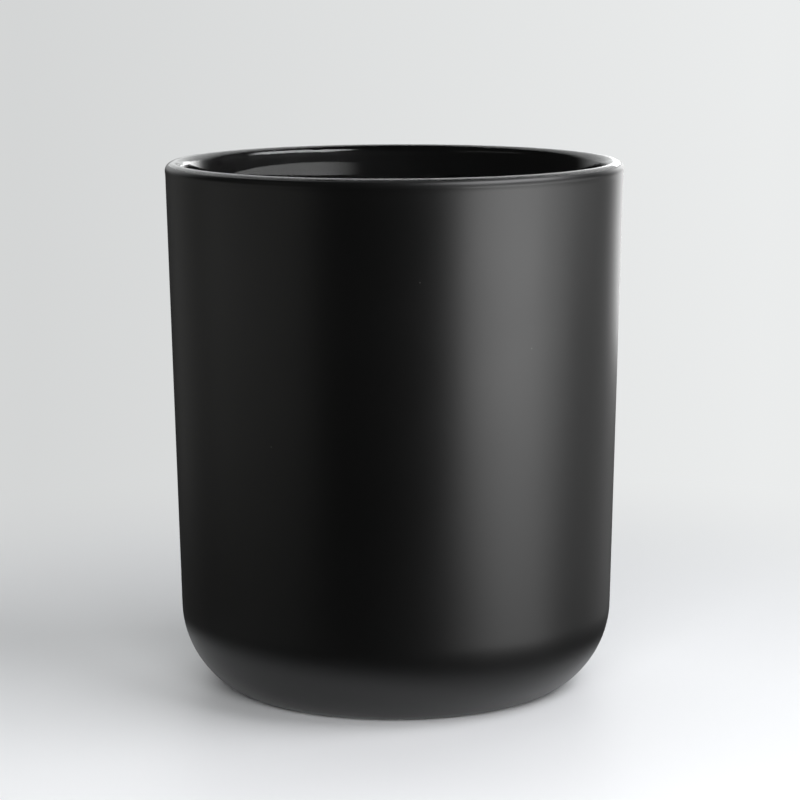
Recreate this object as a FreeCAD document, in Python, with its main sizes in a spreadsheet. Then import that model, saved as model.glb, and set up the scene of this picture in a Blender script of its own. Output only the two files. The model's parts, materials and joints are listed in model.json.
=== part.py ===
"""Empty candle jar: a round-heeled clear glass tumbler, sprayed matt black over its outside.

The frame is in millimetres, +Z up. The origin is on the jar's axis, in the plane that the jar stands on.
The jar stands on a ring of bare glass, and the lacquer ends just above that ring, on the foot round.
Both sub-parts are revolved from half sections drawn in the XZ plane. The lacquer's back and the glass's side
are the same chain of lines and arcs, so the film meets the glass face to face.
"""

import FreeCAD, Part
import math
import os

import Sketcher

PARTS_FOLDER = "parts"
OVERLAP_ALLOWED = 1e-3

# Driving dimensions: alias, value, what it is. Lengths are in millimetres and angles in degrees.
SIZES = [
    ("overall_diameter", 80.0, "widest place, over the lacquer at the rim bead"),
    ("overall_height", 93.0, "standing plane to the top of the rim"),
    ("film", 0.08, "lacquer film thickness"),
    ("film_edge_angle", 48.0, "film's upper edge on the lip, above the horizontal"),
    ("film_foot_angle", 72.0, "film's lower edge on the foot round, below the horizontal"),
    ("lip_radius", 1.45, "fire-polished lip of the glass, half its thickness"),
    ("neck_radius", 7.0, "slight hollow under the rim bead"),
    ("draft", 1.33, "taper of the outer wall from the vertical"),
    ("heel_radius", 16.8, "large round between wall and foot"),
    ("heel_centre", 21.36, "heel round's centre, from the axis"),
    ("foot_blend", 8.0, "smaller round between heel and standing ring, over the lacquer"),
    ("foot_radius", 26.6, "standing ring's outer edge, from the axis"),
    ("ring_radius", 23.4, "standing ring's inner edge, from the axis"),
    ("ring_blend", 3.0, "round inside the standing ring"),
    ("push_up", 1.6, "depth of the hollow under the base"),
    ("push_up_blend", 6.0, "round at the edge of that hollow"),
    ("mouth_radius", 36.3, "straight lid land inside the mouth"),
    ("mouth_flare", 8.0, "top of the lid land, below the rim"),
    ("mouth_land", 10.0, "length of the lid land"),
    ("inner_heel_radius", 12.0, "round between inner wall and floor"),
    ("inner_heel_centre", 22.6, "inner heel round's centre, from the axis"),
    ("floor_height", 7.0, "inner floor above the standing plane"),
]

START, END, CENTRE = 1, 2, 3
ORIGIN = (-1, 1)
VERTICAL_AXIS = -2
FOOT_BOTTOM = -90


def make_sheet(doc):
    """The spreadsheet that holds the driving dimensions. Returns their values by alias."""
    sheet = doc.addObject("Spreadsheet::Sheet", "sizes")
    for row, (alias, value, meaning) in enumerate(SIZES, start=1):
        sheet.set(f"A{row}", alias)
        sheet.set(f"B{row}", str(value))
        sheet.setAlias(f"B{row}", alias)
        sheet.set(f"C{row}", meaning)
    doc.recompute()
    return {alias: value for alias, value, _ in SIZES}


def polar(centre, radius, degrees):
    """The point at that angle on a circle."""
    angle = math.radians(degrees)
    return (centre[0] + radius * math.cos(angle), centre[1] + radius * math.sin(angle))


class Section:
    """A half section in the XZ plane of a body: lines and arcs that the sheet's cells drive."""

    def __init__(self, body, name):
        plane = next(f for f in body.Origin.OriginFeatures if f.Role == "XZ_Plane")
        self.sketch = body.newObject("Sketcher::SketchObject", name)
        self.sketch.AttachmentSupport = [(plane, "")]
        self.sketch.MapMode = "FlatFace"

    def line(self, start, end):
        first = FreeCAD.Vector(*start, 0)
        last = FreeCAD.Vector(*end, 0)
        return self.sketch.addGeometry(Part.LineSegment(first, last), False)

    def arc(self, centre, radius, first, last):
        """An arc that runs anticlockwise from the first angle to the last, in degrees."""
        circle = Part.Circle(FreeCAD.Vector(*centre, 0), FreeCAD.Vector(0, 0, 1), radius)
        arc = Part.ArcOfCircle(circle, math.radians(first), math.radians(last))
        return self.sketch.addGeometry(arc, False)

    def rule(self, *words):
        return self.sketch.addConstraint(Sketcher.Constraint(*words))

    def drive(self, expression, *words):
        """A dimension whose value is an expression of the sheet's cells."""
        index = self.rule(*words)
        self.sketch.setExpression(f"Constraints[{index}]", expression)

    def join(self, one, one_end, other, other_end):
        self.rule("Coincident", one, one_end, other, other_end)

    def smooth(self, one, one_end, other, other_end):
        self.rule("Tangent", one, one_end, other, other_end)

    def across(self, item, point, value, expression):
        self.drive(expression, "DistanceX", *ORIGIN, item, point, value)

    def up(self, item, point, value, expression):
        self.drive(expression, "DistanceY", *ORIGIN, item, point, value)

    def round(self, item, value, expression):
        self.drive(expression, "Radius", item, value)


def add_side(section, size, depth, less, foot_start):
    """The jar's side, from the foot round that starts at that angle, up the heel and the wall to the lip.

    It is the lacquer's face, or the glass's face at that depth under it. There, a round whose centre is in
    the glass is that much smaller, and a round whose centre is outside is that much larger. less is the
    depth as an expression. Returns the chain's first arc, its last arc and the centres of the two.
    """
    foot_blend = size["foot_blend"] - depth
    heel_radius = size["heel_radius"] - depth
    neck_radius = size["neck_radius"] + depth
    lip_radius = size["lip_radius"] + size["film"] - depth

    foot_centre = (size["foot_radius"], size["foot_blend"] - size["film"])
    rounds_apart = size["heel_radius"] - size["foot_blend"]
    foot_join = -math.degrees(math.acos((size["foot_radius"] - size["heel_centre"]) / rounds_apart))
    heel_centre = polar(foot_centre, rounds_apart, foot_join + 180)
    wall_foot = polar(heel_centre, heel_radius, -size["draft"])
    lip_centre = (
        size["overall_diameter"] / 2 - size["film"] - size["lip_radius"],
        size["overall_height"] - size["lip_radius"],
    )
    wall_top_height = lip_centre[1] - size["lip_radius"]
    wall_run = (wall_top_height - wall_foot[1]) * math.tan(math.radians(size["draft"]))
    wall_top = (wall_foot[0] + wall_run, wall_top_height)
    neck_centre = polar(wall_top, neck_radius, -size["draft"])
    neck_join = math.degrees(math.atan2(lip_centre[1] - neck_centre[1], lip_centre[0] - neck_centre[0]))

    foot = section.arc(foot_centre, foot_blend, foot_start, foot_join)
    heel = section.arc(heel_centre, heel_radius, foot_join, -size["draft"])
    wall = section.line(wall_foot, wall_top)
    neck = section.arc(neck_centre, neck_radius, neck_join, 180 - size["draft"])
    lip = section.arc(lip_centre, lip_radius, neck_join - 180, size["film_edge_angle"])

    section.round(foot, foot_blend, f"sizes.foot_blend - {less}")
    section.across(foot, CENTRE, foot_centre[0], "sizes.foot_radius")
    section.up(foot, CENTRE, foot_centre[1], "sizes.foot_blend - sizes.film")
    section.smooth(foot, END, heel, START)
    section.round(heel, heel_radius, f"sizes.heel_radius - {less}")
    section.across(heel, CENTRE, heel_centre[0], "sizes.heel_centre")
    section.smooth(heel, END, wall, START)
    section.drive("90 deg - sizes.draft * 1 deg", "Angle", wall, math.radians(90 - size["draft"]))
    section.smooth(wall, END, neck, END)
    section.round(neck, neck_radius, f"sizes.neck_radius + {less}")
    section.smooth(neck, START, lip, START)
    section.round(lip, lip_radius, f"sizes.lip_radius + sizes.film - {less}")
    lip_across = "sizes.overall_diameter / 2 - sizes.film - sizes.lip_radius"
    section.across(lip, CENTRE, lip_centre[0], lip_across)
    section.up(lip, CENTRE, lip_centre[1], "sizes.overall_height - sizes.lip_radius")
    return foot, lip, foot_centre, lip_centre


def add_underside(section, size, foot):
    """The glass under the base, from the axis out over the hollow and the standing ring to the foot round."""
    height = size["push_up"]
    blends = size["push_up_blend"] + size["ring_blend"]
    slope = math.degrees(math.acos(1 - height / blends))
    ring_centre = (size["ring_radius"], size["ring_blend"])
    push_up_centre = polar(ring_centre, blends, 270 - slope)

    base = section.line((0, height), (push_up_centre[0], height))
    push_up = section.arc(push_up_centre, size["push_up_blend"], 90 - slope, 90)
    ring_round = section.arc(ring_centre, size["ring_blend"], 270 - slope, 270)
    ring = section.line((size["ring_radius"], 0), (size["foot_radius"], 0))

    section.rule("PointOnObject", base, START, VERTICAL_AXIS)
    section.rule("Horizontal", base)
    section.up(base, START, height, "sizes.push_up")
    section.smooth(base, END, push_up, END)
    section.round(push_up, size["push_up_blend"], "sizes.push_up_blend")
    section.smooth(push_up, START, ring_round, START)
    section.round(ring_round, size["ring_blend"], "sizes.ring_blend")
    section.across(ring_round, CENTRE, ring_centre[0], "sizes.ring_radius")
    section.smooth(ring_round, END, ring, START)
    section.rule("Horizontal", ring)
    section.smooth(ring, END, foot, START)
    return base


def revolve(body, section):
    """Turns a half section through a full circle about the jar's axis."""
    turned = body.newObject("PartDesign::Revolution", body.Name + "_turned")
    turned.Profile = section.sketch
    turned.ReferenceAxis = (section.sketch, ["V_Axis"])
    turned.Angle = 360
    section.sketch.Visibility = False


def make_glass(doc, size):
    """The clear glass tumbler: one moulding, with a fire-polished lip and a heavy base."""
    body = doc.addObject("PartDesign::Body", "glass_jar")
    section = Section(body, "glass_section")
    foot, lip, _, lip_centre = add_side(section, size, size["film"], "sizes.film", FOOT_BOTTOM)
    base = add_underside(section, size, foot)

    floor_height = size["floor_height"]
    mouth = size["mouth_radius"]
    land_top = size["overall_height"] - size["mouth_flare"]
    land_bottom = land_top - size["mouth_land"]
    heel_radius = size["inner_heel_radius"]
    heel_centre = (size["inner_heel_centre"], floor_height + heel_radius)

    flare_rise = lip_centre[1] - land_top
    flare_width = lip_centre[0] - mouth
    lip_sum = flare_rise**2 + flare_width**2 - size["lip_radius"] ** 2
    flare_radius = lip_sum / (2 * (flare_width - size["lip_radius"]))
    flare_turn = math.degrees(math.asin(flare_rise / (flare_radius - size["lip_radius"])))
    wall_drop = land_bottom - heel_centre[1]
    wall_width = mouth - heel_centre[0]
    wall_radius = (wall_drop**2 + wall_width**2 - heel_radius**2) / (2 * (wall_width - heel_radius))
    wall_turn = math.degrees(math.asin(wall_drop / (wall_radius - heel_radius)))

    flare = section.arc((mouth + flare_radius, land_top), flare_radius, 180 - flare_turn, 180)
    land = section.line((mouth, land_top), (mouth, land_bottom))
    wall = section.arc((mouth - wall_radius, land_bottom), wall_radius, -wall_turn, 0)
    heel = section.arc(heel_centre, heel_radius, -90, -wall_turn)
    floor = section.line((heel_centre[0], floor_height), (0, floor_height))
    axis = section.line((0, floor_height), (0, size["push_up"]))

    section.smooth(lip, END, flare, START)
    section.smooth(flare, END, land, START)
    section.rule("Vertical", land)
    section.across(land, START, mouth, "sizes.mouth_radius")
    section.up(land, START, land_top, "sizes.overall_height - sizes.mouth_flare")
    section.drive("sizes.mouth_land", "Distance", land, size["mouth_land"])
    section.smooth(land, END, wall, END)
    section.smooth(wall, START, heel, END)
    section.round(heel, heel_radius, "sizes.inner_heel_radius")
    section.across(heel, CENTRE, heel_centre[0], "sizes.inner_heel_centre")
    section.smooth(heel, START, floor, START)
    section.rule("Horizontal", floor)
    section.up(floor, START, floor_height, "sizes.floor_height")
    section.rule("PointOnObject", floor, END, VERTICAL_AXIS)
    section.join(floor, END, axis, START)
    section.join(axis, END, base, START)
    revolve(body, section)
    return body, section


def add_film_edge(section, one, other, end, first, last, expression):
    """The lacquer's edge: a short line square to its face, from that end of one arc to that of the other."""
    edge = section.line(first, last)
    section.join(edge, START, one, end)
    section.join(edge, END, other, end)
    section.rule("PointOnObject", one, CENTRE, edge)
    angle = math.atan2(last[1] - first[1], last[0] - first[0])
    section.drive(expression, "Angle", edge, angle)


def make_film(doc, size):
    """The sprayed matt black lacquer: a thin closed skin over the outside, from the foot round to the lip."""
    body = doc.addObject("PartDesign::Body", "matt_black_lacquer")
    section = Section(body, "lacquer_section")
    lip_angle = size["film_edge_angle"]
    foot_angle = -size["film_foot_angle"]
    face_foot, face_lip, foot_centre, lip_centre = add_side(section, size, 0.0, "0", foot_angle)
    back_foot, back_lip, _, _ = add_side(section, size, size["film"], "sizes.film", foot_angle)

    back_end = polar(lip_centre, size["lip_radius"], lip_angle)
    face_end = polar(lip_centre, size["lip_radius"] + size["film"], lip_angle)
    add_film_edge(section, back_lip, face_lip, END, back_end, face_end, "sizes.film_edge_angle * 1 deg")
    face_start = polar(foot_centre, size["foot_blend"], foot_angle)
    back_start = polar(foot_centre, size["foot_blend"] - size["film"], foot_angle)
    foot_expression = "180 deg - sizes.film_foot_angle * 1 deg"
    add_film_edge(section, face_foot, back_foot, START, face_start, back_start, foot_expression)
    revolve(body, section)
    return body, section


def check(doc, made):
    """Stops the script if an object failed, a section is loose or a sub-part isn't one closed solid."""
    for item in doc.Objects:
        if {"Invalid", "Error"} & set(item.State):
            raise RuntimeError(f"{item.Name} failed: {item.State}")
    for body, section in made:
        if not section.sketch.FullyConstrained:
            raise RuntimeError(f"{section.sketch.Name} isn't fully constrained")
        if body.Shape.isNull() or not body.Shape.isValid() or len(body.Shape.Solids) != 1:
            raise RuntimeError(f"{body.Name} isn't one valid solid")
    glass, film = (body.Shape for body, _ in made)
    shared = glass.common(film).Volume
    if shared > OVERLAP_ALLOWED:
        raise RuntimeError(f"the lacquer runs {shared} mm3 into the glass")


def main():
    doc = FreeCAD.newDocument("candle_jar")
    size = make_sheet(doc)
    made = [make_glass(doc, size), make_film(doc, size)]
    doc.recompute()
    check(doc, made)
    os.makedirs(PARTS_FOLDER, exist_ok=True)
    for body, _ in made:
        body.Label = body.Name
        body.Placement = FreeCAD.Placement()
        body.Shape.exportStep(os.path.join(PARTS_FOLDER, body.Label + ".step"))
        box = body.Shape.optimalBoundingBox(False)
        print(f"{body.Label}: {body.Shape.Volume:.0f} mm3, {box.ZMin:.2f} mm to {box.ZMax:.2f} mm high")


main()
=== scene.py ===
import json
import math

import bpy
from mathutils import Matrix, Quaternion, Vector, noise


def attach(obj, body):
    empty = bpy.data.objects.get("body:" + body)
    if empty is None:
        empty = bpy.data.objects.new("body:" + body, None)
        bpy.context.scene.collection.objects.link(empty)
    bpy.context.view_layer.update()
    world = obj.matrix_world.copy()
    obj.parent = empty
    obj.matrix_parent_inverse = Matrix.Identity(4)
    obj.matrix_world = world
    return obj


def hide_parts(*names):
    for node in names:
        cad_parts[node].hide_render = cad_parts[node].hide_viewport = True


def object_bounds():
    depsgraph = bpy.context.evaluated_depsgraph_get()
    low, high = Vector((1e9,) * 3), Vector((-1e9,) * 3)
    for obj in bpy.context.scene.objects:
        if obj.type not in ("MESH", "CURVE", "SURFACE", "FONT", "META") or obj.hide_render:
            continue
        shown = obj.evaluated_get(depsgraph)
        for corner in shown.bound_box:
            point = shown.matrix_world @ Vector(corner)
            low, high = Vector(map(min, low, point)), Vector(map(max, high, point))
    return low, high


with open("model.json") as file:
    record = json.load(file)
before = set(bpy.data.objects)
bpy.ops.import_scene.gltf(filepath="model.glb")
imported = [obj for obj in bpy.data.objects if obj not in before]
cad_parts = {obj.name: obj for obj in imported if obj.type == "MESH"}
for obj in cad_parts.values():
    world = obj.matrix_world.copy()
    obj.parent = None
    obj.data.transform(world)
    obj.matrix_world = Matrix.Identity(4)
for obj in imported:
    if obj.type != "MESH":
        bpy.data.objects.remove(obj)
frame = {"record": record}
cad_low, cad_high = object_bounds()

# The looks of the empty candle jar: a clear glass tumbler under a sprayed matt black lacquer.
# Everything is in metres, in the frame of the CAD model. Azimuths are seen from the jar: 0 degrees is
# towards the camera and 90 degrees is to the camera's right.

MM = 0.001

# The jar's own sizes. What the frame holds is read from it, and the rest repeats the CAD source.
overall_radius = cad_high.x
overall_height = cad_high.z
film = 0.08 * MM
mouth = next(m for m in frame["record"]["mounts"] if m["name"] == "mouth")
mouth_radius = mouth["dims"]["r_mm"] * MM
mouth_land = mouth["dims"]["length_mm"] * MM
mouth_land_top = mouth["pos_m"][2] + mouth_land / 2
lip_radius = 1.45 * MM
film_edge_angle = 48.0
film_foot_angle = 72.0
neck_radius = 7.0 * MM
draft = 1.33
heel_radius = 16.8 * MM
heel_centre = 21.36 * MM
foot_blend = 8.0 * MM
foot_radius = 26.6 * MM
ring_radius = 23.4 * MM
ring_blend = 3.0 * MM
push_up = 1.6 * MM
push_up_blend = 6.0 * MM
inner_heel_radius = 12.0 * MM
inner_heel_centre = 22.6 * MM
floor_height = 7.0 * MM

# Points round the jar, and along the stretches of its side.
SEGMENTS = 256
FOOT_STEPS = 16
HEEL_STEPS = 24
WALL_STEPS = 56
NECK_STEPS = 8
LIP_STEPS = 26

# The lacquer thins by this much towards its two edges, over this share of the foot round and of the lip.
FOOT_THINNING = 0.05 * MM
LIP_THINNING = 0.06 * MM
EDGE_SHARE = 0.2
# The lacquer's face is uneven by up to twice this depth, in patches of about this width.
FACE_DEPTH = 0.006 * MM
FACE_PATCH = 9 * MM
# The back of the lacquer bites this far into the glass, so that light in the glass meets the lacquer
# with no air between them.
BITE = 0.02 * MM
# The inside of the glass sways by up to this much, in patches of about this width, each this many times as
# wide as it is high.
GLASS_SWAY = 0.02 * MM
GLASS_PATCH = 11 * MM
GLASS_PATCH_SHAPE = 2.5
# The sway starts at this radius, and grows to its full size over these distances outwards and under the lip.
SWAY_START_RADIUS = 5 * MM
SWAY_RADIUS_SPAN = 10 * MM
SWAY_LIP_SPAN = 12 * MM


def polar(centre, radius, degrees):
    """The point at that angle on a circle, in the half section."""
    angle = math.radians(degrees)
    return (centre[0] + radius * math.cos(angle), centre[1] + radius * math.sin(angle))


def along_line(start, end, steps):
    """Points from the start up to, but not including, the end."""
    return [
        (start[0] + (end[0] - start[0]) * i / steps, start[1] + (end[1] - start[1]) * i / steps)
        for i in range(steps)
    ]


def along_arc(centre, radius, first, last, steps):
    """Points from the first angle up to, but not including, the last."""
    return [polar(centre, radius, first + (last - first) * i / steps) for i in range(steps)]


lip_centre = (overall_radius - film - lip_radius, overall_height - lip_radius)


def side_chain(depth, foot_start, edge_angle, foot_thinning=0.0, lip_thinning=0.0):
    """The jar's side, depth metres under the lacquer's face, from the foot round up to the lip.

    foot_thinning and lip_thinning thin the lacquer towards its two edges.
    """
    foot_centre = (foot_radius, foot_blend - film)
    rounds_apart = heel_radius - foot_blend
    foot_join = -math.degrees(math.acos((foot_radius - heel_centre) / rounds_apart))
    heel = polar(foot_centre, rounds_apart, foot_join + 180)
    wall_foot = polar(heel, heel_radius - depth, -draft)
    lean = math.radians(draft)
    out = (math.cos(lean), -math.sin(lean))
    up = (math.sin(lean), math.cos(lean))
    start = polar(wall_foot, neck_radius + depth, -draft)
    to_lip = (lip_centre[0] - start[0], lip_centre[1] - start[1])
    aside = to_lip[0] * out[0] + to_lip[1] * out[1]
    rise = to_lip[0] * up[0] + to_lip[1] * up[1]
    reach = neck_radius + lip_radius + film
    rise -= math.sqrt(reach**2 - aside**2)
    neck = (start[0] + up[0] * rise, start[1] + up[1] * rise)
    wall_top = (wall_foot[0] + up[0] * rise, wall_foot[1] + up[1] * rise)
    neck_join = math.degrees(math.atan2(lip_centre[1] - neck[1], lip_centre[0] - neck[0]))
    first = neck_join - 180
    lip = lip_radius + film - depth
    points = []
    for i in range(FOOT_STEPS):
        share = i / FOOT_STEPS
        thinned = foot_blend - depth - foot_thinning * max(0.0, 1 - share / EDGE_SHARE)
        points.append(polar(foot_centre, thinned, foot_start + (foot_join - foot_start) * share))
    points += along_arc(heel, heel_radius - depth, foot_join, -draft, HEEL_STEPS)
    points += along_line(wall_foot, wall_top, WALL_STEPS)
    points += along_arc(neck, neck_radius + depth, 180 - draft, neck_join, NECK_STEPS)
    for i in range(LIP_STEPS + 1):
        share = i / LIP_STEPS
        thinned = lip - lip_thinning * max(0.0, 1 - (1 - share) / EDGE_SHARE)
        points.append(polar(lip_centre, thinned, first + (edge_angle - first) * share))
    return points


def under_chain():
    """The bare glass under the base, from the axis out to the end of the standing ring."""
    blends = push_up_blend + ring_blend
    slope = math.degrees(math.acos(1 - push_up / blends))
    ring_centre = (ring_radius, ring_blend)
    push_up_centre = polar(ring_centre, blends, 270 - slope)
    points = along_line((0.0, push_up), (push_up_centre[0], push_up), steps=8)
    points += along_arc(push_up_centre, push_up_blend, 90, 90 - slope, steps=8)
    points += along_arc(ring_centre, ring_blend, 270 - slope, 270, steps=8)
    points += along_line((ring_radius, 0.0), (foot_radius, 0.0), steps=4)
    return points


def inner_chain(first_angle):
    """The glass's inside, from that angle on the lip down the wall to the axis."""
    land_bottom = mouth_land_top - mouth_land
    rise = lip_centre[1] - mouth_land_top
    width = lip_centre[0] - mouth_radius
    flare = (rise**2 + width**2 - lip_radius**2) / (2 * (width - lip_radius))
    turn = math.degrees(math.asin(rise / (flare - lip_radius)))
    heel = (inner_heel_centre, floor_height + inner_heel_radius)
    drop = land_bottom - heel[1]
    wall_width = mouth_radius - heel[0]
    bow = (drop**2 + wall_width**2 - inner_heel_radius**2) / (2 * (wall_width - inner_heel_radius))
    bow_turn = math.degrees(math.asin(drop / (bow - inner_heel_radius)))
    points = along_arc(lip_centre, lip_radius, first_angle, 180 - turn, steps=40)
    points += along_arc((mouth_radius + flare, mouth_land_top), flare, 180 - turn, 180, steps=16)
    points += along_line((mouth_radius, mouth_land_top), (mouth_radius, land_bottom), steps=8)
    points += along_arc((mouth_radius - bow, land_bottom), bow, 0, -bow_turn, steps=40)
    points += along_arc(heel, inner_heel_radius, -bow_turn, -90, steps=20)
    points += along_line((heel[0], floor_height), (0.0, floor_height), steps=12)
    points.append((0.0, floor_height))
    return points


def wobble(azimuth, point, size, seed):
    """Smooth noise from -1 to 1 on the jar's surface, size metres across."""
    place = Vector((point[0] * math.cos(azimuth), point[0] * math.sin(azimuth), point[1]))
    return noise.noise(place / size + Vector((seed, seed * 1.7, -seed)))


def lathe(name, outline, on_axis):
    """A closed mesh turned about the Z axis. outline(azimuth) gives the same number of points each time.

    The outline is a closed loop, or if on_axis it runs from the axis to the axis.
    """
    columns = [outline(2 * math.pi * k / SEGMENTS) for k in range(SEGMENTS)]
    rows = range(1, len(columns[0]) - 1) if on_axis else range(len(columns[0]))
    vertices = []
    for row in rows:
        for k, column in enumerate(columns):
            azimuth = 2 * math.pi * k / SEGMENTS
            radius, height = column[row]
            vertices.append((radius * math.cos(azimuth), radius * math.sin(azimuth), height))
    bands = len(rows) - 1 if on_axis else len(rows)
    faces = []
    for band in range(bands):
        low = band * SEGMENTS
        high = (band + 1) % len(rows) * SEGMENTS
        for k in range(SEGMENTS):
            after = (k + 1) % SEGMENTS
            faces.append((low + k, low + after, high + after, high + k))
    if on_axis:
        first = len(vertices)
        vertices.append((0.0, 0.0, columns[0][0][1]))
        vertices.append((0.0, 0.0, columns[0][-1][1]))
        top = (len(rows) - 1) * SEGMENTS
        for k in range(SEGMENTS):
            after = (k + 1) % SEGMENTS
            faces.append((first, after, k))
            faces.append((top + k, top + after, first + 1))
    mesh = bpy.data.meshes.new(name)
    mesh.from_pydata(vertices, [], faces)
    mesh.validate()
    mesh.shade_smooth()
    piece = bpy.data.objects.new(name, mesh)
    bpy.context.scene.collection.objects.link(piece)
    return piece


def ring_noise(azimuth, waves, seed):
    """Smooth noise from -1 to 1 round the jar, with about that many waves."""
    return noise.noise(Vector((waves * math.cos(azimuth), waves * math.sin(azimuth), seed)))


def lacquer_outline(azimuth):
    """The lacquer's half section. Its two edges wander, each in a few long waves and many short ones."""
    lip_edge = film_edge_angle + 0.9 * ring_noise(azimuth, 3, 4.0) + 0.3 * ring_noise(azimuth, 14, 9.0)
    foot_edge = -film_foot_angle + 3.0 * ring_noise(azimuth, 4, 17.0) + 1.5 * ring_noise(azimuth, 30, 23.0)
    face = side_chain(0.0, foot_edge, lip_edge, FOOT_THINNING, LIP_THINNING)
    back = side_chain(film + BITE, foot_edge, lip_edge)
    face = [(r - FACE_DEPTH * (1 + wobble(azimuth, (r, z), FACE_PATCH, 2.0)), z) for r, z in face]
    return face + back[::-1]


def glass_outline(azimuth):
    """The glass's half section. Its inside sways a little, but not at the lip or near the axis."""
    outside = under_chain() + side_chain(film, -90.0, film_edge_angle)
    moved = []
    for r, z in inner_chain(film_edge_angle):
        off_axis = min(1.0, max(0.0, (r - SWAY_START_RADIUS) / SWAY_RADIUS_SPAN))
        below_lip = min(1.0, max(0.0, (lip_centre[1] - z) / SWAY_LIP_SPAN))
        sway = GLASS_SWAY * wobble(azimuth, (r, z * GLASS_PATCH_SHAPE), GLASS_PATCH, 5.0)
        sway *= off_axis
        sway *= below_lip
        moved.append((r + sway, z))
    return outside[:-1] + moved


def new_material(name):
    """An empty node material and its shader."""
    material = bpy.data.materials.new(name)
    material.use_nodes = True
    nodes = material.node_tree.nodes
    nodes.clear()
    output = nodes.new("ShaderNodeOutputMaterial")
    shader = nodes.new("ShaderNodeBsdfPrincipled")
    material.node_tree.links.new(shader.outputs["BSDF"], output.inputs["Surface"])
    return material, shader


def add(material, kind, **values):
    """A new node with some of its inputs or properties set."""
    node = material.node_tree.nodes.new(kind)
    for key, value in values.items():
        if hasattr(node, key):
            setattr(node, key, value)
        else:
            node.inputs[key.replace("_", " ")].default_value = value
    return node


def link(material, output, target):
    material.node_tree.links.new(output, target)


LACQUER_DARK = (0.0014, 0.0015, 0.0014, 1)
LACQUER_LIGHT = (0.0024, 0.0024, 0.0025, 1)
SPECK_COLOUR = (0.08, 0.08, 0.075, 1)
GLASS_COLOUR = (0.985, 0.99, 0.988, 1)


def lacquer_material():
    """Sprayed matt black lacquer: a fine tooth, faint cloudiness and a few dust specks."""
    material, shader = new_material("matt_black_lacquer_finish")
    shader.inputs["IOR"].default_value = 1.5
    place = add(material, "ShaderNodeTexCoord").outputs["Object"]
    cloud = add(material, "ShaderNodeTexNoise", Scale=60.0, Detail=4.0)
    tooth = add(material, "ShaderNodeTexNoise", Scale=3800.0, Detail=3.0)
    link(material, place, cloud.inputs["Vector"])
    link(material, place, tooth.inputs["Vector"])
    colour = add(material, "ShaderNodeMixRGB")
    colour.inputs[1].default_value = LACQUER_DARK
    colour.inputs[2].default_value = LACQUER_LIGHT
    link(material, cloud.outputs["Fac"], colour.inputs[0])
    specks = add(material, "ShaderNodeTexVoronoi", Scale=130.0)
    link(material, place, specks.inputs["Vector"])
    small = add(material, "ShaderNodeMapRange", From_Min=0.012, From_Max=0.02, To_Min=1.0, To_Max=0.0)
    link(material, specks.outputs["Distance"], small.inputs["Value"])
    speckled = add(material, "ShaderNodeMixRGB")
    speckled.inputs[2].default_value = SPECK_COLOUR
    link(material, small.outputs["Result"], speckled.inputs[0])
    link(material, colour.outputs[0], speckled.inputs[1])
    link(material, speckled.outputs[0], shader.inputs["Base Color"])
    rough = add(material, "ShaderNodeMapRange", To_Min=0.34, To_Max=0.39)
    link(material, cloud.outputs["Fac"], rough.inputs["Value"])
    link(material, rough.outputs["Result"], shader.inputs["Roughness"])
    bump = add(material, "ShaderNodeBump", Strength=0.25, Distance=0.02 * MM)
    link(material, tooth.outputs["Fac"], bump.inputs["Height"])
    link(material, bump.outputs["Normal"], shader.inputs["Normal"])
    return material


def glass_material():
    """Clear moulded glass with a faintly uneven surface."""
    material, shader = new_material("clear_glass")
    shader.inputs["Base Color"].default_value = GLASS_COLOUR
    shader.inputs["IOR"].default_value = 1.52
    shader.inputs["Transmission Weight"].default_value = 1.0
    place = add(material, "ShaderNodeTexCoord").outputs["Object"]
    smear = add(material, "ShaderNodeTexNoise", Scale=90.0, Detail=5.0)
    ripple = add(material, "ShaderNodeTexNoise", Scale=220.0, Detail=2.0)
    link(material, place, smear.inputs["Vector"])
    link(material, place, ripple.inputs["Vector"])
    rough = add(material, "ShaderNodeMapRange", From_Min=0.45, From_Max=0.8, To_Min=0.01, To_Max=0.08)
    link(material, smear.outputs["Fac"], rough.inputs["Value"])
    link(material, rough.outputs["Result"], shader.inputs["Roughness"])
    bump = add(material, "ShaderNodeBump", Strength=0.15, Distance=0.02 * MM)
    link(material, ripple.outputs["Fac"], bump.inputs["Height"])
    link(material, bump.outputs["Normal"], shader.inputs["Normal"])
    return material


def softbox(name, place, target, width, height, radiance, colour=(1.0, 1.0, 1.0)):
    """A flat soft light that faces the target and glows with that radiance."""
    light = bpy.data.lights.new(name, "AREA")
    light.shape = "RECTANGLE"
    light.size = width
    light.size_y = height
    light.energy = radiance * math.pi * width * height
    light.color = colour
    lamp = bpy.data.objects.new(name, light)
    lamp.location = place
    lamp.rotation_mode = "QUATERNION"
    lamp.rotation_quaternion = (Vector(target) - place).to_track_quat("-Z", "Y")
    lamp.visible_camera = False
    bpy.context.scene.collection.objects.link(lamp)
    return lamp


LIGHTS_CENTRE = Vector((0.0, 0.0, 0.05))
LIGHTS_DISTANCE = 0.5
# The colours of the cooler and the warmer cards.
COOL = (0.98, 0.98, 1.0)
WARM = (1.0, 1.0, 0.97)


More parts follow.
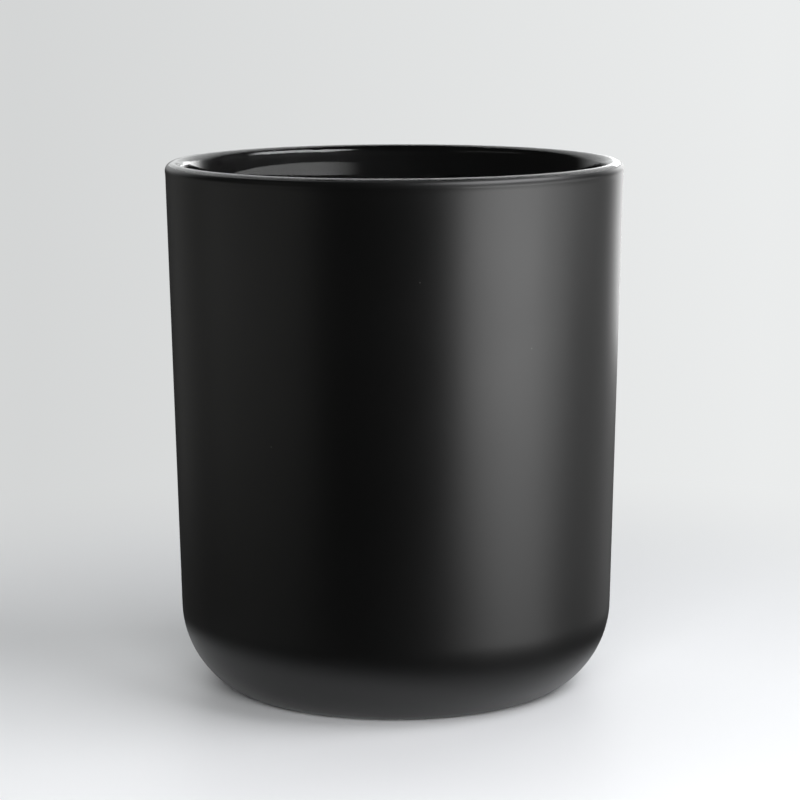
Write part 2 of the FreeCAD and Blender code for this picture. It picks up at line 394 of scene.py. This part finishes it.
def soften_ends(lamp, share):
    """Fades a softbox out towards its two ends, over that share of its width at each."""
    lamp.data.use_nodes = True
    nodes = lamp.data.node_tree.nodes
    links = lamp.data.node_tree.links
    glow = nodes["Emission"]
    across = nodes.new("ShaderNodeSeparateXYZ")
    links.new(nodes.new("ShaderNodeNewGeometry").outputs["Parametric"], across.inputs[0])
    strength = nodes.new("ShaderNodeMath")
    strength.operation = "MULTIPLY"
    for index, (start, end) in enumerate(((0.0, share), (1.0, 1.0 - share))):
        fade = nodes.new("ShaderNodeMapRange")
        fade.interpolation_type = "SMOOTHSTEP"
        fade.inputs["From Min"].default_value = start
        fade.inputs["From Max"].default_value = end
        links.new(across.outputs["X"], fade.inputs["Value"])
        links.new(fade.outputs["Result"], strength.inputs[index])
    links.new(strength.outputs[0], glow.inputs["Strength"])


def card(name, azimuth, elevation, wide, tall, radiance, colour=(1.0, 1.0, 1.0), roll=0.0, soft=0.0):
    """A softbox placed and sized by the angles at which the jar sees it.

    A roll turns it clockwise as the jar sees it, and soft is the share of its width that fades at each end.
    """
    side = math.radians(azimuth)
    rise = math.radians(elevation)
    towards = Vector((math.sin(side) * math.cos(rise), -math.cos(side) * math.cos(rise), math.sin(rise)))
    width = 2 * LIGHTS_DISTANCE * math.cos(rise) * math.tan(math.radians(wide / 2))
    height = 2 * LIGHTS_DISTANCE * math.tan(math.radians(tall / 2))
    place = LIGHTS_CENTRE + LIGHTS_DISTANCE * towards
    lamp = softbox(name, place, LIGHTS_CENTRE, width, height, radiance, colour)
    lamp.rotation_quaternion = lamp.rotation_quaternion @ Quaternion((0, 0, 1), math.radians(roll))
    if soft:
        soften_ends(lamp, soft)
    return lamp


def only_on(lamp, *pieces):
    """Lets a lamp light those pieces and nothing else."""
    receivers = bpy.data.collections.new(lamp.name + "_receivers")
    for piece in pieces:
        receivers.objects.link(piece)
    lamp.light_linking.receiver_collection = receivers


# The camera's place in metres, its turn in degrees, and its lens and sensor in millimetres.
CAMERA_DISTANCE = 0.4965
CAMERA_HEIGHT = 0.1318
CAMERA_ASIDE = 0.097
CAMERA_DOWN = 9.292
CAMERA_ROLL = -0.206
LENS = 127.9
SENSOR_WIDTH = 36.0

TENT_FLOOR = 0.45
TENT_SWEEP = 0.45
TENT_TOP = 2.0
TENT_SEGMENTS = 96
TENT_FLOOR_RINGS = 6
TENT_SWEEP_RINGS = 16
BOARD_COLOUR = (0.84, 0.85, 0.865, 1)
# The board runs out into the backdrop over these distances from the jar's axis.
BOARD_FADE = (0.07, 0.20)
# The backdrop's glow at the left and the right of the view, and how far aside of the camera's line
# those two are, as a slope.
WALL_LEFT = 0.67
WALL_RIGHT = 0.84
WALL_SLOPE = 0.13
WALL_COLOUR = (0.985, 1.0, 1.0, 1)
# The backdrop is this much brighter for the jar than for the camera.
BACKDROP_GAIN = 1.6
# The jar sees the backdrop come up out of the dark over these distances behind the jar, and over these
# heights.
BACKDROP_DEPTHS = (0.45, 0.75)
BACKDROP_HEIGHTS = (0.08, 0.16)
# The jar sees the board run out over these distances from this place.
STAND_CENTRE = (-0.007, 0.003, 0.0)
STAND_FADE = (0.041, 0.057)
# The glow of the room above the tent, for the jar and for the camera.
ROOM_GLOW = 0.05
ROOM_GLOW_SEEN = 0.75


def make_tent():
    """The pale floor, which sweeps up all round into a pale wall."""
    profile = [(TENT_FLOOR * i / TENT_FLOOR_RINGS, 0.0) for i in range(1, TENT_FLOOR_RINGS + 1)]
    profile += [
        polar((TENT_FLOOR, TENT_SWEEP), TENT_SWEEP, -90 + 90 * i / TENT_SWEEP_RINGS)
        for i in range(1, TENT_SWEEP_RINGS + 1)
    ]
    profile.append((TENT_FLOOR + TENT_SWEEP, TENT_TOP))
    vertices = [(0.0, 0.0, 0.0)]
    for radius, height in profile:
        for k in range(TENT_SEGMENTS):
            angle = 2 * math.pi * k / TENT_SEGMENTS
            vertices.append((radius * math.cos(angle), radius * math.sin(angle), height))
    faces = [(0, 1 + k, 1 + (k + 1) % TENT_SEGMENTS) for k in range(TENT_SEGMENTS)]
    for row in range(len(profile) - 1):
        for k in range(TENT_SEGMENTS):
            low = 1 + row * TENT_SEGMENTS
            after = (k + 1) % TENT_SEGMENTS
            faces.append((low + k, low + TENT_SEGMENTS + k, low + TENT_SEGMENTS + after, low + after))
    mesh = bpy.data.meshes.new("tent")
    mesh.from_pydata(vertices, [], faces)
    mesh.shade_smooth()
    tent = bpy.data.objects.new("tent", mesh)
    bpy.context.scene.collection.objects.link(tent)
    tent.data.materials.append(tent_material())
    return tent


def ramp(material, value, span, first=0.0, last=1.0, smooth=False):
    """Runs from first to last while the value crosses the span."""
    node = add(material, "ShaderNodeMapRange", From_Min=span[0], From_Max=span[1], To_Min=first, To_Max=last)
    if smooth:
        node.interpolation_type = "SMOOTHSTEP"
    link(material, value, node.inputs["Value"])
    return node.outputs["Result"]


def combine(material, operation, one, other):
    """The sum, product or the like of two values."""
    node = add(material, "ShaderNodeMath", operation=operation)
    link(material, one, node.inputs[0])
    link(material, other, node.inputs[1])
    return node.outputs[0]


def backdrop_strength(material, x, y, seen):
    """The backdrop's glow, which is dimmer to the left of the view and brighter to the right."""
    ahead = add(material, "ShaderNodeMath", operation="ADD")
    link(material, y, ahead.inputs[0])
    ahead.inputs[1].default_value = CAMERA_DISTANCE
    sideways = combine(material, "DIVIDE", x, ahead.outputs[0])
    across = ramp(material, sideways, (-WALL_SLOPE, WALL_SLOPE), WALL_LEFT, WALL_RIGHT)
    gain = ramp(material, seen, (0.0, 1.0), BACKDROP_GAIN, 1.0)
    return combine(material, "MULTIPLY", across, gain)


def tent_presence(material, place, y, z, seen):
    """1 where the tent is there, and 0 where a ray goes on through it."""
    stand = add(material, "ShaderNodeVectorMath", operation="DISTANCE")
    link(material, place, stand.inputs[0])
    stand.inputs[1].default_value = STAND_CENTRE
    near = ramp(material, stand.outputs["Value"], STAND_FADE, 1.0, 0.0, smooth=True)
    behind = ramp(material, y, BACKDROP_DEPTHS, smooth=True)
    raised = ramp(material, z, BACKDROP_HEIGHTS)
    backdrop = combine(material, "MULTIPLY", behind, raised)
    surface = combine(material, "MAXIMUM", near, backdrop)
    solid = combine(material, "MAXIMUM", surface, seen)
    outside = add(material, "ShaderNodeNewGeometry").outputs["Backfacing"]
    presence = combine(material, "SUBTRACT", solid, outside)
    presence.node.use_clamp = True
    return presence


def tent_material():
    """A pale matt board that runs out into a plain glowing backdrop, and is see-through from outside.

    The camera sees an endless board. The jar sees one that ends a little way off, as on a small stand, and
    a dim room beyond it with the backdrop at its far side.
    """
    material, board = new_material("pale_board")
    board.inputs["Roughness"].default_value = 0.5
    board.inputs["Base Color"].default_value = BOARD_COLOUR
    place = add(material, "ShaderNodeTexCoord").outputs["Object"]
    split = add(material, "ShaderNodeSeparateXYZ")
    link(material, place, split.inputs[0])
    seen = add(material, "ShaderNodeLightPath").outputs["Is Camera Ray"]
    wall = add(material, "ShaderNodeEmission")
    wall.inputs["Color"].default_value = WALL_COLOUR
    strength = backdrop_strength(material, split.outputs["X"], split.outputs["Y"], seen)
    link(material, strength, wall.inputs["Strength"])

    distance = add(material, "ShaderNodeVectorMath", operation="LENGTH")
    link(material, place, distance.inputs[0])
    tent = add(material, "ShaderNodeMixShader")
    link(material, ramp(material, distance.outputs["Value"], BOARD_FADE, smooth=True), tent.inputs[0])
    link(material, board.outputs[0], tent.inputs[1])
    link(material, wall.outputs[0], tent.inputs[2])

    surface = add(material, "ShaderNodeMixShader")
    presence = tent_presence(material, place, split.outputs["Y"], split.outputs["Z"], seen)
    link(material, presence, surface.inputs[0])
    link(material, add(material, "ShaderNodeBsdfTransparent").outputs[0], surface.inputs[1])
    link(material, tent.outputs[0], surface.inputs[2])
    output = material.node_tree.get_output_node("ALL")
    link(material, surface.outputs[0], output.inputs["Surface"])
    return material


def make_world():
    """A dim room above the tent. It looks pale where the camera sees it directly."""
    world = bpy.data.worlds.new("room")
    world.use_nodes = True
    nodes = world.node_tree.nodes
    links = world.node_tree.links
    nodes.clear()
    output = nodes.new("ShaderNodeOutputWorld")
    background = nodes.new("ShaderNodeBackground")
    path = nodes.new("ShaderNodeLightPath")
    strength = nodes.new("ShaderNodeMapRange")
    strength.inputs["To Min"].default_value = ROOM_GLOW
    strength.inputs["To Max"].default_value = ROOM_GLOW_SEEN
    links.new(path.outputs["Is Camera Ray"], strength.inputs["Value"])
    links.new(strength.outputs["Result"], background.inputs["Strength"])
    links.new(background.outputs[0], output.inputs["Surface"])
    bpy.context.scene.world = world


def make_camera():
    """The camera stands in front of the jar and looks down at it a little."""
    data = bpy.data.cameras.new("camera")
    data.sensor_width = SENSOR_WIDTH
    data.lens = LENS
    data.clip_start = 0.01
    camera = bpy.data.objects.new("camera", data)
    bpy.context.scene.collection.objects.link(camera)
    aside = math.radians(CAMERA_ASIDE)
    down = math.radians(CAMERA_DOWN)
    roll = math.radians(CAMERA_ROLL)
    right = Vector((math.cos(aside), -math.sin(aside), 0))
    ahead = Vector((math.sin(aside) * math.cos(down), math.cos(aside) * math.cos(down), -math.sin(down)))
    up = right.cross(ahead)
    rolled_right = math.cos(roll) * right + math.sin(roll) * up
    rolled_up = math.cos(roll) * up - math.sin(roll) * right
    turn = Matrix((rolled_right, rolled_up, -ahead)).transposed().to_4x4()
    camera.matrix_world = Matrix.Translation((0, -CAMERA_DISTANCE, CAMERA_HEIGHT)) @ turn
    bpy.context.scene.camera = camera


make_camera()

lacquer = lathe("lacquer_skin", lacquer_outline, on_axis=False)
lacquer.data.materials.append(lacquer_material())
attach(lacquer, "root")
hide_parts("matt_black_lacquer")

glass = lathe("glass_tumbler", glass_outline, on_axis=True)
glass.data.materials.append(glass_material())
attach(glass, "root")
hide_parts("glass_jar")

tent = make_tent()
make_world()
only_on(card("high_key", 66, 44, 78, 30, 6.8, COOL, soft=0.2), lacquer, glass)
card("low_key", 54, -4, 43, 14, 6.4)
card("side_key", 84, -4, 18, 14, 2.6)
card("front_right_card", 72, 9, 108, 13, 1.8, roll=-8, soft=0.35)
card("under_card", 66, -18, 40, 13, 1.3)
card("right_card", 124, -10, 60, 20, 0.35)
only_on(card("far_right_card", 156, 5, 42, 24, 3.1, soft=0.4), lacquer, glass)
card("left_card", -72, -4, 66, 20, 0.42, WARM)
card("left_back_card", -126, -4, 40, 20, 0.16, WARM)
card("left_high_card", -62, 30, 58, 8, 0.45, WARM, soft=0.4)
only_on(card("board_key", 66, 44, 78, 30, 4.3, COOL, soft=0.2), tent)
board_front = softbox(
    "board_front", Vector((0.0, -0.30, 0.12)), (0, 0, 0), width=0.2, height=0.1, radiance=13.0
)
only_on(board_front, tent)

bpy.context.scene.view_settings.view_transform = "Standard"
